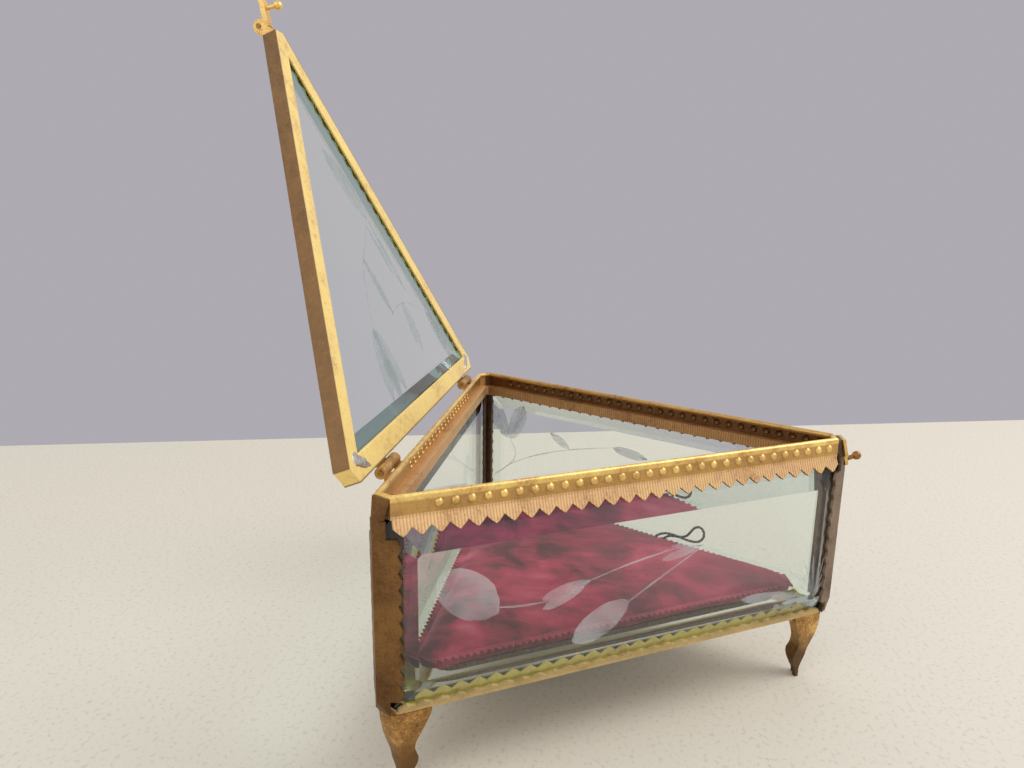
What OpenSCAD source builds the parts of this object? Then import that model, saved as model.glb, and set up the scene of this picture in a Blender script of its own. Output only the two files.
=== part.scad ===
// Three-sided table casket of bevelled glass in gilt brass galleries, shown with its lid open.
// The hinge side lies along X at the back, the clasp corner points to -Y, and Z = 0 is the table.
// The origin is the middle of the open casket's outline at table level.

/* [Casket] */
// Side of the triangle that the outer faces of the brass galleries lie on, before its corners are cut
side = 106; // [90:1:140]
// Height of the walls, from the underside of the bottom rails to the top of the rim
wall_h = 41.5; // [34:0.5:60]
// Width of the flat that cuts off each corner of the galleries
corner_flat = 4; // [3:0.5:6]
// Angle through which the lid stands open
lid_open = 111.5; // [95:0.5:118]

/* [Glass] */
// Thickness of a wall panel in its flat middle
glass_t = 4.2; // [3.6:0.1:5]
// Thickness of a panel at its ground edge
glass_edge = 1.6; // [1.2:0.1:2]
// Width of the ground bevel
bevel_w = 6; // [4:0.5:9]
// Thickness of the base plate
base_t = 3; // [2:0.5:4]
// Gap between glass and the metal that grips it
glass_gap = 0.05; // [0.02:0.01:0.15]

/* [Galleries] */
// Thickness of the brass sheet
sheet = 0.55; // [0.4:0.05:0.7]
// Height of the beaded rim above the toothed rail
rim_h = 3.6; // [3:0.1:5]
// Thickness of the beaded rim
rim_t = 0.8; // [0.7:0.1:1.1]
// Radius of the rolled lip along the top of the rim
lip_r = 0.6; // [0.45:0.05:0.7]
// Radius of one embossed bead
bead_r = 0.95; // [0.7:0.05:1.1]
// Pitch of the beads
bead_pitch = 3; // [2.4:0.1:4]
// Plain length of the rim beside the front corner
plain_front = 1.4; // [1:0.1:6]
// Plain length of the rim beside the two back corners
plain_back = 7.2; // [1:0.1:12]
// Pitch of the gallery teeth
tooth_pitch = 3.4; // [2.6:0.1:5]
// Height of a gallery tooth
tooth_h = 1.5; // [0.8:0.1:2]
// Width of the gripping band above the teeth
band_w = 1.7; // [1.2:0.1:3]
// Depth of the inner flange of the top rails
inner_flange = 2.4; // [1.5:0.1:4]
// Width of the ledge under the base plate
ledge_w = 6.5; // [5:0.5:9]
// Height of the tooth strip inside the foot of the walls, up to its tips
inner_strip_h = 4.2; // [3:0.1:6]
// Pitch of the small prongs along the outer bottom edge
prong_pitch = 3.2; // [2.6:0.1:5]
// Height of these prongs, and of the strip that they stand on
prong_h = 0.7; // [0.5:0.1:1.2]

/* [Posts] */
// Width of the post's wing on the glass, up to the roots of its teeth
wing_w = 2.9; // [2:0.1:4]
// Height of a post tooth
post_tooth = 0.75; // [0.4:0.05:1.2]
// Pitch of the post teeth
post_pitch = 3.1; // [2.4:0.1:5]
// Thickness of the web between two panels
web_t = 0.5; // [0.4:0.1:0.8]

/* [Feet] */
// Height of the feet
foot_h = 17; // [12:0.5:24]
// Length of each wing of a foot where it meets the bottom rails
foot_wing = 7; // [5:0.5:10]
// Wall of a foot
foot_wall = 1.3; // [1:0.1:1.8]

/* [Lid] */
// Height of the lid's outer face
lid_rail_h = 3.1; // [2.8:0.1:4]
// Width of the flange under the lid glass
lid_flange = 4.3; // [3:0.1:6]
// Gap between the closed lid and the rim
lid_gap = 0.2; // [0.15:0.05:0.4]

/* [Hinges] */
// Distance of each hinge from the middle of the back
hinge_x = 36; // [20:1:40]
// Length of one hinge
hinge_len = 9; // [7:0.5:14]
// Distance of the hinge axis behind the rim
hinge_out = 1.5; // [1.45:0.05:1.9]
// Radius of the hinge knuckles
knuckle_r = 1.15; // [0.95:0.05:1.2]
// Radius of the hinge pins
hinge_pin_r = 0.55; // [0.45:0.05:0.6]
// Running clearance round a pin
pin_gap = 0.04; // [0.02:0.01:0.08]

/* [Clasp] */
// Distance of the hasp pin in front of the lid's nose
hasp_out = 2.1; // [1.95:0.05:2.6]
// Radius of the hasp's eye
eye_r = 1.6; // [1.3:0.05:1.75]
// Length of the hasp from its pin
hasp_len = 7.6; // [6.5:0.1:10]
// Width of the hasp
hasp_w = 2; // [1.6:0.1:3]
// Radius of both clasp beads
clasp_bead_r = 0.95; // [0.7:0.05:1]
// Slant of the hasp below the plane of the lid
hasp_tilt = 11; // [5:1:15]

/* [Pad] */
// Gap between the pad and the walls
pad_gap = 2; // [1.5:0.5:6]
// Height of the velvet cushion at its crown
pad_h = 5.4; // [3:0.1:8]
// Thickness of the board under the cushion
board_t = 1; // [0.8:0.1:2]
// Thickness of the thread of the pull loop
thread_d = 0.6; // [0.5:0.05:1]

/* [Hidden] */
$fn = 32;

// Numbers of the sides and corners, counted the same way round
BACK = 0;
LEFT = 1;
RIGHT = 2;
LEFT_CORNER = 150;
RIGHT_CORNER = 30;
FRONT_CORNER = 270;

inradius = side / (2 * sqrt(3));
corner_r = 2 * inradius;
corner_cut = corner_flat * cos(30);
nose_r = corner_r - corner_cut;
lip_z = foot_h + wall_h;

// The outer face of the galleries is offset 0, and offsets grow outwards
edge_out = -sheet - glass_gap;
inner_face = edge_out - glass_edge;
bevel_d = glass_t - glass_edge;
flat_out = edge_out + bevel_d;
bevel_a = atan(bevel_d / bevel_w);
bevel_k = bevel_d / bevel_w;
roof_t = 0.6;
sole_t = 0.6;
glass_z0 = foot_h + sole_t + glass_gap;
glass_z1 = lip_z - rim_h - roof_t - glass_gap;
// Distance from the sharp corner to the panel ends, at the ground edge and at the inner face
panel_end = 2;
panel_end_in = (web_t / 2 + glass_gap - inner_face * cos(30)) / sin(30);
panel_clip = 2.2;

// Wing of a post: outer and inner surface at a distance s from the sharp corner
function wing_out(s) = edge_out + (glass_gap + sheet) / cos(bevel_a) + bevel_k * (s - panel_end);
function wing_in(s) = edge_out + glass_gap / cos(bevel_a) + bevel_k * (s - panel_end);
post_nose_in = (panel_end * bevel_k - wing_out(panel_end)) / (sin(30) + cos(30) * bevel_k);
post_inner_in = (panel_end * bevel_k - wing_in(panel_end)) / (sin(30) + cos(30) * bevel_k);
post_nose_r = corner_r - post_nose_in;
wing_end = panel_end + wing_w;
wing_root = panel_end + 1.2;
post_z0 = foot_h + 3.2;
post_z1 = glass_z1 - (band_w + tooth_h) * cos(bevel_a) - 0.2;

// Under the galleries the strip of a post runs on from strip_z0 to strip_z1, and its ridge
// leans in to the cut corner that it meets at shoulder_z above and at foot_h below
strip_z0 = foot_h + sole_t;
strip_z1 = lip_z - rim_h - roof_t;
shoulder_z = lip_z - 0.3;
shoulder_t = 0.8;
top_lean = atan((post_nose_r - nose_r - shoulder_t) / (shoulder_z - post_z1));
foot_lean = atan((post_nose_r - nose_r - shoulder_t) / (post_z0 - foot_h));

lid_z = lip_z + lid_gap;
lid_sheet = 0.7;
lid_glass_z = lid_z + lid_sheet + glass_gap;
lid_glass_out = -sheet - 0.15;
hinge_y = inradius + hinge_out;
hinge_z = lip_z + lid_gap / 2;
hasp_r = nose_r + hasp_out;
hasp_z = lid_z + lid_rail_h + 0.1;
hasp_pin_r = 0.5;
hasp_t = 1.1;
hasp_offset = eye_r - hasp_t / 2 + 0.3;
bead_along = 3.6;
bead_below = 4.5;
catch_r = hasp_r + 2.5;
catch_z = hasp_z - 7.6;

pad_z = glass_z0 + base_t + 0.1;
pad_in = -inner_face + sheet + pad_gap;

// Half way between the catch bead in front and the hasp's eye behind, on the open lid
eye_back = hinge_y - cos(lid_open) * (hasp_r + hinge_y) + sin(lid_open) * (hasp_z - hinge_z) + eye_r;
middle_y = (eye_back - catch_r - clasp_bead_r) / 2;

function pol(r, a) = [r * cos(a), r * sin(a)];
function turn(a, p) = [p[0] * cos(a) - p[1] * sin(a), p[0] * sin(a) + p[1] * cos(a)];

// The triangle with its corners cut, at an offset from the outer face of the galleries.
// Offsets deeper than the cut leave the corners sharp.
function cut_triangle(out) =
    let (x = min(cut_x(out), side / 2 + out * sqrt(3)))
        [for (k = [0:2]) for (e = [1, -1]) turn(120 * k, [e * x, inradius + out])];

// The third of the plan that belongs to the back side
side_sector = [[0, 0], pol(2 * side, 30), pol(2 * side, 150)];

// A point near a corner: s along the side, y outwards, e for the left or right hand side
function near_corner(s, y, e) = [corner_r - s * cos(30) + y * sin(30), e * (s * sin(30) + y * cos(30))];

// Puts a child that is drawn for the back side, round the middle of the triangle, on side k
module at_side(k) {
    translate([0, -middle_y, 0]) rotate([0, 0, 120 * k]) children();
}

// Puts a child whose x points outwards at a corner
module at_corner(a) {
    translate([0, -middle_y, 0]) rotate([0, 0, a]) children();
}

// Opens what belongs to the lid, which is drawn closed
module on_lid() {
    axis = [0, hinge_y - middle_y, hinge_z];
    translate(axis) rotate([-lid_open, 0, 0]) translate(-axis) children();
}

// A band that follows side k and half of each cut corner, between two offsets and two heights
module band(k, out0, out1, z0, z1) {
    at_side(k) translate([0, 0, z0]) linear_extrude(z1 - z0) intersection() {
        difference() {
            polygon(cut_triangle(out1));
            polygon(cut_triangle(out0));
        }
        polygon(side_sector);
    }
}

// Half length of a side at an offset, up to where the flat of the corner starts
function cut_x(out) = side / 2 - corner_flat + out / sqrt(3);

// A round rod along side k, mitred where it turns round the cut corners
module rod(k, out, z, r) {
    h = 3 * r;
    at_side(k) translate([0, 0, z]) if (out < -corner_cut)
        intersection() {
            rod_piece(inradius + out, r, side);
            linear_extrude(h, center = true) polygon(side_sector);
        }
    else {
        intersection() {
            rod_piece(inradius + out, r, side);
            linear_extrude(h, center = true) polygon([
                for (q = [[1, -r], [1, r], [-1, r], [-1, -r]])
                    [q[0] * cut_x(out + 1.5 * q[1]), inradius + out + 1.5 * q[1]]
            ]);
        }
        for (e = [0, 1]) mirror([e, 0, 0]) intersection() {
            rotate([0, 0, -60]) rod_piece(nose_r + out, r, 2 * corner_flat);
            linear_extrude(h, center = true) polygon([
                [cut_x(out - 1.5 * r), inradius + out - 1.5 * r],
                pol(nose_r + out - 1.5 * r, 30),
                pol(nose_r + out + 1.5 * r, 30),
                [cut_x(out + 1.5 * r), inradius + out + 1.5 * r]
            ]);
        }
    }
}

module rod_piece(y, r, length) {
    translate([0, y, 0]) rotate([0, 90, 0]) cylinder(r = r, h = length, center = true);
}

// Skins a stack of rings that all have the same number of points. The ends are flat, or
// fans round a middle point where their rings aren't flat.
module loft(rings, fan = false) {
    n = len(rings[0]);
    m = len(rings);
    top = (m - 1) * n;
    middles = [for (r = [rings[0], rings[m - 1]]) [for (p = r) 1] * r / n];
    points = concat([for (r = rings) for (p = r) p], fan ? middles : []);
    sides = [
        for (i = [0:m - 2]) for (j = [0:n - 1])
            let (a = i * n + j, b = i * n + (j + 1) % n)
                for (f = [[b + n, b, a], [a + n, b + n, a]]) f
    ];
    flat_ends = [[for (j = [0:n - 1]) j], [for (j = [n - 1:-1:0]) top + j]];
    fans = [
        for (j = [0:n - 1])
            let (next = (j + 1) % n)
                for (f = [[m * n, j, next], [m * n + 1, top + next, top + j]]) f
    ];
    polyhedron(points, concat(sides, fan ? fans : flat_ends), 6);
}

// A strip with a straight edge at y = 0 and a row of leaf-shaped teeth on the other side
module toothed_outline(length, pitch, band, tooth) {
    count = max(1, round(length / pitch));
    p = length / count;
    x0 = -length / 2;
    polygon(concat(
        [[x0, 0]],
        [
            for (i = [0:count - 1])
                for (q = [[0, 0], [0.22, 0.5], [0.38, 0.82], [0.5, 1], [0.62, 0.82], [0.78, 0.5]])
                    [x0 + (i + q[0]) * p, band + q[1] * tooth]
        ],
        [[x0 + length, band], [x0 + length, 0]]
    ));
}

// Wall panels, ground with a bevel all round the outer face
function clipped(hx, z0, z1, c, y) = [
    for (q = [[1, 0, 0, 1], [1, 1, 0, -1], [1, 1, 1, 0], [-1, 1, 1, 0], [-1, 1, 0, -1],
              [-1, 0, 0, 1], [-1, 0, 1, 0], [1, 0, 1, 0]])
        [q[0] * (hx - q[2] * c), y, (q[1] == 1 ? z1 : z0) + q[3] * c]
];

module wall_glass(k) {
    half = side / 2;
    color([0.72, 0.84, 0.82, 0.5]) at_side(k) translate([0, inradius, 0]) loft([
        clipped(half - panel_end_in, glass_z0, glass_z1, panel_clip, inner_face),
        clipped(half - panel_end, glass_z0, glass_z1, panel_clip, edge_out),
        clipped(half - panel_end - bevel_w, glass_z0 + bevel_w, glass_z1 - bevel_w, 0.8, flat_out)
    ]);
}

module base_glass() {
    color([0.72, 0.84, 0.82, 0.5]) at_side(BACK) translate([0, 0, glass_z0])
        linear_extrude(base_t) polygon(cut_triangle(inner_face - sheet - 0.25));
}

// Triangular plate with cut corners, ground along its three sides
module lid_glass() {
    color([0.72, 0.84, 0.82, 0.5]) on_lid() difference() {
        at_side(BACK) translate([0, 0, lid_glass_z])
            linear_extrude(glass_t) polygon(cut_triangle(lid_glass_out));
        for (k = [BACK, LEFT, RIGHT])
            at_side(k) translate([-side, inradius + lid_glass_out, lid_glass_z + glass_edge])
                rotate([-bevel_a, 0, 0]) translate([0, -2 * bevel_w, 0])
                    cube([2 * side, 3 * bevel_w, glass_t]);
    }
}

// Beads stop short of the corners and of the hinge leaves
function bead_places(k) =
    let (
        reach = side / 2 - corner_flat,
        x0 = -reach + bead_r + (k == LEFT ? plain_front : plain_back),
        x1 = reach - bead_r - (k == RIGHT ? plain_front : plain_back)
    )
        [
            for (i = [ceil(x0 / bead_pitch - 0.5):floor(x1 / bead_pitch - 0.5)])
                let (x = (i + 0.5) * bead_pitch)
                    if (k != BACK || abs(abs(x) - hinge_x) > hinge_len / 2 + bead_r) x
        ];

// Beaded rim: a thin strip with a rolled lip, embossed from behind
module rim(k) {
    bead_z = lip_z - 2 * lip_r - bead_r + 0.05;
    color([0.86, 0.68, 0.32]) difference() {
        union() {
            band(k, -rim_t, 0, lip_z - rim_h, lip_z - lip_r);
            rod(k, -lip_r, lip_z - lip_r, lip_r);
            at_side(k) for (x = bead_places(k))
                translate([x, inradius - 0.4, bead_z]) sphere(bead_r, $fn = 20);
        }
        at_side(k) for (x = bead_places(k))
            translate([x, inradius - rim_t - 0.45, bead_z]) sphere(0.8, $fn = 16);
    }
}

// A toothed strip that lies on a bevel, from the ground edge at height z; up is 1 or -1
module bevel_strip(z, up, length, pitch, grip, tooth) {
    foot_len = 0.3;
    translate([0, inradius + edge_out, z]) rotate([up * (90 - bevel_a), 0, 0])
        translate([0, -foot_len, up > 0 ? -glass_gap - sheet : glass_gap])
            linear_extrude(sheet) toothed_outline(length, pitch, grip + foot_len, tooth);
}

// Top rail: a channel over the glass edge, with teeth lying on the outer bevel
module top_rail(k) {
    depth = sheet - inner_face + glass_gap;
    roof_z = lip_z - rim_h - roof_t;
    color([0.86, 0.68, 0.32]) union() {
        band(k, -depth, 0, roof_z, lip_z - rim_h);
        band(k, -sheet, 0, roof_z - glass_gap, roof_z + 0.1);
        band(k, -depth, -depth + sheet, lip_z - rim_h - inner_flange, roof_z + 0.1);
        at_side(k) bevel_strip(glass_z1, -1, side - 2 * corner_flat - 0.4, tooth_pitch, band_w, tooth_h);
    }
}

// Bottom rail: a sole under wall and base plate, a toothed strip inside and prongs outside
module bottom_rail(k) {
    strip_y = inner_face - 0.1;
    color([0.8, 0.6, 0.28]) union() {
        band(k, -ledge_w, 0, foot_h, foot_h + sole_t);
        band(k, strip_y - sheet, strip_y, foot_h + sole_t - 0.1, foot_h + sole_t + 1);
        at_side(k) translate([0, inradius + strip_y, foot_h + 0.3]) rotate([90, 0, 0])
            linear_extrude(sheet)
                toothed_outline(side - 2 * (corner_flat + 4), tooth_pitch,
                                inner_strip_h - tooth_h - 0.3, tooth_h);
        at_side(k) bevel_strip(glass_z0, 1, side - 2 * corner_flat - 1, prong_pitch, prong_h, prong_h);
    }
}

// Corner post: an outer strip folded over the bevels, a web between the panels, a strip inside
module post_outer_2d(end) {
    polygon([
        [post_nose_r, 0],
        near_corner(end, wing_out(end), 1),
        near_corner(end, wing_in(end), 1),
        [corner_r - post_inner_in, 0],
        near_corner(end, wing_in(end), -1),
        near_corner(end, wing_out(end), -1)
    ]);
}

module post_inner_2d() {
    y0 = inner_face - glass_gap;
    y1 = y0 - sheet;
    s_end = -y0 * sqrt(3) + wing_w;
    polygon([
        [corner_r + 2 * y0, 0],
        near_corner(s_end, y0, 1),
        near_corner(s_end, y1, 1),
        [corner_r + 2 * y1, 0],
        near_corner(s_end, y1, -1),
        near_corner(s_end, y0, -1)
    ]);
}

// What is cut away from one wing: the notches between the teeth, and all of the wing
// but its root where the strip runs on under the galleries
module post_notches(e) {
    start = near_corner(wing_root, wing_in(wing_root), 1);
    height = post_z1 - post_z0;
    width = (wing_end - wing_root) / cos(bevel_a);
    mirror([0, e < 0 ? 1 : 0, 0]) translate([start[0], start[1], (post_z0 + post_z1) / 2])
        rotate([0, 0, 60 - bevel_a]) rotate([0, 90, 0])
            translate([0, 0, -1]) linear_extrude(sheet + 2) difference() {
                translate([-height, 0]) square([2 * height, width + post_tooth + 1]);
                translate([0, -1]) toothed_outline(height, post_pitch, width + 1, post_tooth);
            }
}

// A slab whose outer face leans from the cut corner at height z out to the ridge of the post;
// the post ends at that face. Negative thickness gives what lies in front of it.
module leaning(z, up, lean, thick) {
    far = 9;
    translate([nose_r + 0.02 + shoulder_t, 0, z]) rotate([0, up * -lean, 0])
        translate([thick > 0 ? -thick : 0, -2 * corner_flat, up > 0 ? -far : 0])
            cube([abs(thick), 4 * corner_flat, far]);
}

// Closes the corner where the ridge is cut off
module post_shoulder(z_end, z_strip, z_post, lean) {
    up = z_end > z_post ? 1 : -1;
    overlap = up * 0.1;
    intersection() {
        leaning(z_end, up, lean, shoulder_t);
        union() {
            between(z_post - up, z_strip) corner_wedge(post_nose_r - 0.15, 30 + bevel_a);
            between(z_strip - overlap, z_end) corner_wedge(corner_r, 30);
        }
    }
}

module between(z0, z1) {
    translate([0, 0, min(z0, z1)]) linear_extrude(abs(z1 - z0)) children();
}

// Outline of a corner seen from above, as far back as the cut corner of the galleries
module corner_wedge(ridge, half_angle) {
    back = nose_r + 0.02;
    w = (ridge - back) * tan(half_angle);
    polygon([[ridge, 0], [back, w], [back, -w]]);
}

module post(a) {
    inner_z0 = foot_h + inner_strip_h + 0.3;
    inner_z1 = lip_z - rim_h - inner_flange - 0.2;
    color([0.45, 0.29, 0.14]) at_corner(a) union() {
        difference() {
            between(strip_z0, strip_z1) post_outer_2d(wing_end + post_tooth + 0.2);
            post_notches(1);
            post_notches(-1);
            leaning(shoulder_z, 1, top_lean, -3);
            leaning(foot_h, -1, foot_lean, -3);
        }
        between(inner_z0, inner_z1) {
            post_inner_2d();
            translate([corner_r + 2 * inner_face - 0.3, -web_t / 2])
                square([-2 * inner_face - post_inner_in + 0.5, web_t]);
        }
        post_shoulder(shoulder_z, strip_z1, post_z1, top_lean);
        post_shoulder(foot_h, strip_z0, post_z0, foot_lean);
    }
}

// Bracket foot: a folded wall with a knee that sweeps in to a small sole.
// Rows: share of the height from the top, inward sweep, share of the wing, half flat, wall
foot_rows = [
    [0, 0, 1, 2, 1],
    [0.24, 0.3, 0.78, 1.7, 1],
    [0.44, 1.2, 0.5, 1.35, 1],
    [0.56, 1.9, 0.42, 1.25, 1.1],
    [0.66, 2.2, 0.48, 1.2, 1.2],
    [0.76, 2.7, 0.38, 1.15, 1.2],
    [0.88, 3.2, 0.17, 1.05, 1.15],
    [1, 3.2, 0.12, 1.15, 1.15]
];

// Smooth value of column c of the foot rows at a share t of the height
function foot_value(t, c) =
    let (
        n = len(foot_rows),
        hits = [for (i = [0:n - 2]) if (foot_rows[i][0] <= t) i],
        i = hits[len(hits) - 1],
        r0 = foot_rows[max(0, i - 1)],
        r1 = foot_rows[i],
        r2 = foot_rows[i + 1],
        r3 = foot_rows[min(n - 1, i + 2)],
        h = r2[0] - r1[0],
        u = (t - r1[0]) / h,
        m1 = i == 0 ? 0 : (r2[c] - r0[c]) / (r2[0] - r0[0]) * h,
        m2 = i == n - 2 ? 0 : (r3[c] - r1[c]) / (r3[0] - r1[0]) * h
    )
    (2 * u ^ 3 - 3 * u ^ 2 + 1) * r1[c] + (u ^ 3 - 2 * u ^ 2 + u) * m1
    + (3 * u ^ 2 - 2 * u ^ 3) * r2[c] + (u ^ 3 - u ^ 2) * m2;

function foot_ring(t) =
    let (
        x = nose_r + 0.5 - foot_value(t, 1),
        w = foot_wing * foot_value(t, 2),
        f = foot_value(t, 3),
        th = min(foot_wall * foot_value(t, 4), 0.75 * w + 0.2 * f),
        z = foot_h * (1 - t),
        half = [
            [x, f * 0.5],
            [x - 0.12 * f, f],
            [x - 0.12 * f - 0.5 * w * cos(30), f + 0.5 * w * sin(30)],
            [x - 0.12 * f - w * cos(30), f + w * sin(30)],
            [x - 0.12 * f - w * cos(30) - th * sin(30), f + w * sin(30) - th * cos(30)],
            [x - 0.12 * f - 0.5 * w * cos(30) - th * sin(30), f + 0.5 * w * sin(30) - th * cos(30)],
            [x - th - 0.05, 0.25 * f]
        ]
    )
    concat(
        [for (p = half) [p[0], p[1], z]],
        [for (i = [len(half) - 1:-1:0]) [half[i][0], -half[i][1], z]]
    );

module foot(a) {
    steps = 20;
    color([0.6, 0.44, 0.2]) at_corner(a)
        loft([for (i = [0:steps]) foot_ring(1 - i / steps)]);
}

// Lid rail: a channel round the glass edge, a rounded flange below and teeth on the bevel above
module lid_rail(k) {
    color([0.72, 0.52, 0.24]) on_lid() union() {
        band(k, -sheet, 0, lid_z, lid_z + lid_rail_h);
        band(k, -lid_flange + lid_sheet / 2, 0, lid_z, lid_z + lid_sheet);
        rod(k, -lid_flange + lid_sheet / 2, lid_z + lid_sheet / 2, lid_sheet / 2);
        band(k, lid_glass_out + 0.05, 0, lid_z + lid_rail_h - sheet, lid_z + lid_rail_h);
        at_side(k) translate([0, inradius + lid_glass_out, lid_glass_z + glass_edge])
            rotate([180 - bevel_a, 0, 0]) translate([0, 0, -glass_gap - sheet])
                linear_extrude(sheet)
                    toothed_outline(side - 2 * corner_flat - 9, tooth_pitch, band_w, tooth_h);
    }
}

// Butt hinges behind the back side
module knuckle(x0, x1) {
    translate([x0, hinge_y, hinge_z]) rotate([0, 90, 0]) cylinder(r = knuckle_r, h = x1 - x0);
}

module pin_bore(x) {
    translate([x - hinge_len, hinge_y, hinge_z]) rotate([0, 90, 0])
        cylinder(r = hinge_pin_r + pin_gap, h = 2 * hinge_len);
}

module hinge_body_leaf(x) {
    part = hinge_len * 0.3;
    leaf_h = rim_h - 1.4;
    color([0.7, 0.66, 0.56]) at_side(BACK) difference() {
        union() {
            translate([x - hinge_len / 2, inradius, lip_z - leaf_h - 1.2])
                cube([hinge_len, sheet, leaf_h]);
            for (e = [-1, 1])
                translate([x + e * (hinge_len - part) / 2, 0, 0]) {
                    knuckle(-part / 2, part / 2);
                    translate([-part / 2, inradius, lip_z - 1.3]) cube([part, sheet + 0.3, 0.9]);
                }
        }
        pin_bore(x);
    }
}

module hinge_lid_leaf(x) {
    part = hinge_len * 0.4 - 0.2;
    leaf_z = hinge_z + knuckle_r + 0.15;
    color([0.7, 0.66, 0.56]) on_lid() at_side(BACK) difference() {
        union() {
            translate([x - hinge_len / 2, inradius, leaf_z])
                cube([hinge_len, sheet, lid_z + lid_rail_h - 0.2 - leaf_z]);
            translate([x - part / 2, inradius, lip_z + 0.6]) cube([part, sheet + 0.3, 1.2]);
            translate([x, 0, 0]) knuckle(-part / 2, part / 2);
        }
        pin_bore(x);
    }
}

module hinge_pin(x) {
    color([0.55, 0.42, 0.22]) at_side(BACK)
        translate([x - hinge_len / 2 - 0.2, hinge_y, hinge_z]) rotate([0, 90, 0])
            cylinder(r = hinge_pin_r, h = hinge_len + 0.4);
}

// Clasp: the hasp turns on a pin between two ears at the lid's nose
module ear() {
    rotate([90, 0, 0]) linear_extrude(0.7, center = true) difference() {
        union() {
            translate([hasp_r, hasp_z]) circle(1.1);
            polygon([
                [nose_r, lid_z + 0.6],
                [nose_r + 0.5, lid_z + 0.6],
                [hasp_r + 0.9, hasp_z - 0.7],
                [hasp_r, hasp_z + 1.1],
                [nose_r, lid_z + lid_rail_h]
            ]);
        }
        translate([hasp_r, hasp_z]) circle(hasp_pin_r + pin_gap);
    }
}

module hasp_ears() {
    color([0.72, 0.52, 0.24]) on_lid() at_corner(FRONT_CORNER) union() {
        for (e = [-1, 1]) translate([0, e * (hasp_w / 2 + 0.5), 0]) ear();
        translate([nose_r, -hasp_w / 2 - 0.85, lid_z + 0.6]) cube([0.35, hasp_w + 1.7, 1.6]);
    }
}

module hasp_pin() {
    color([0.55, 0.42, 0.22]) on_lid() at_corner(FRONT_CORNER)
        translate([hasp_r, 0, hasp_z]) rotate([90, 0, 0])
            cylinder(r = hasp_pin_r, h = hasp_w + 2.1, center = true);
}

// Frame of the hasp: x runs along it, z points away from the casket
module on_hasp() {
    on_lid() at_corner(FRONT_CORNER) translate([hasp_r, 0, hasp_z])
        rotate([0, hasp_tilt, 0]) children();
}

module hasp() {
    color([0.82, 0.62, 0.3]) on_hasp() difference() {
        union() {
            rotate([90, 0, 0]) cylinder(r = eye_r, h = hasp_w, center = true);
            translate([0, -hasp_w / 2, -hasp_offset - hasp_t / 2])
                cube([hasp_len - hasp_w / 2, hasp_w, hasp_t]);
            translate([hasp_len - hasp_w / 2, 0, -hasp_offset - hasp_t / 2])
                cylinder(d = hasp_w, h = hasp_t);
        }
        rotate([90, 0, 0]) cylinder(r = hasp_pin_r + pin_gap, h = hasp_w + 2, center = true);
        translate([bead_along, 0, -hasp_offset - hasp_t]) cylinder(r = 0.45, h = 2 * hasp_t);
    }
}

module hasp_bead() {
    color([0.92, 0.76, 0.4]) on_hasp() translate([bead_along, 0, 0]) {
        translate([0, 0, -bead_below]) cylinder(r = 0.45, h = bead_below - hasp_offset + hasp_t / 2);
        translate([0, 0, -bead_below]) sphere(clasp_bead_r);
    }
}

// Catch: a plate on the cut front corner with a bead on a short neck
module catch_frame() {
    at_corner(FRONT_CORNER) translate([nose_r + 0.02 + shoulder_t, 0, shoulder_z])
        rotate([0, -top_lean, 0]) children();
}

module catch_plate() {
    color([0.92, 0.76, 0.4]) catch_frame()
        translate([0.02, 0, 0]) rotate([0, 90, 0]) linear_extrude(0.6) {
            translate([0.1, -corner_flat / 2]) square([3.9, corner_flat]);
            translate([4, 0]) circle(0.9);
            translate([4, -0.9]) square([1.6, 1.8]);
            translate([5.6, 0]) circle(0.9);
        }
}

module catch_bead() {
    root = [nose_r + shoulder_t + 0.04 + 0.6 * cos(top_lean) + 4.1 * sin(top_lean) + 0.12,
            catch_z - 0.9];
    tip = [catch_r, catch_z];
    neck = tip - root;
    color([0.5, 0.34, 0.16]) at_corner(FRONT_CORNER) {
        translate([root[0], 0, root[1]]) rotate([0, 90 - atan2(neck[1], neck[0]), 0])
            cylinder(r = 0.5, h = norm(neck));
        translate([tip[0], 0, tip[1]]) sphere(clasp_bead_r);
    }
}

// Pad: a card with a velvet cushion, rounded at its corners
function round_triangle(in, r, n = 6) = [
    for (k = [0:2]) for (i = [0:2 * n - 1])
        let (
            a = 30 + 120 * k,
            centre = pol(2 * (inradius - in - r), a),
            arc = [for (j = [0:n]) centre + pol(r, a - 60 + 120 * j / n)],
            next = pol(2 * (inradius - in - r), a + 120) + pol(r, a + 60)
        )
            i <= n ? arc[i] : arc[n] + (next - arc[n]) * (i - n) / n
];

// Gentle waves of the old velvet
function pad_wave(p) = 0.45 * sin(7.5 * p[0] + 20) * cos(6 * p[1] - 30) + 0.25 * sin(9 * p[1] + 5 * p[0]);

// Rows of the cushion: inset, corner radius, share of the height, share of the waves
pad_rows = [
    [1, 4.2, 0, 0],
    [0.3, 4.8, 0.1, 0],
    [0, 5, 0.3, 0.2],
    [0.4, 4.7, 0.55, 0.4],
    [1.2, 4.4, 0.73, 0.5],
    [2.6, 4, 0.85, 0.7],
    [5.5, 3.6, 0.93, 1],
    [10, 3, 0.97, 1],
    [16, 2.4, 1, 1]
];

module pad_board() {
    color([0.55, 0.42, 0.4]) at_side(BACK) translate([0, 0, pad_z]) linear_extrude(board_t)
        polygon(round_triangle(pad_in + 0.8, 4));
}

module pad_cushion() {
    z = pad_z + board_t + 0.1;
    color([0.55, 0.12, 0.22]) at_side(BACK) loft([
        for (row = pad_rows) [
            for (p = round_triangle(pad_in + row[0], row[1]))
                [p[0], p[1], z + row[2] * pad_h + row[3] * pad_wave(p)]
        ]
    ], fan = true);
}

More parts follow.
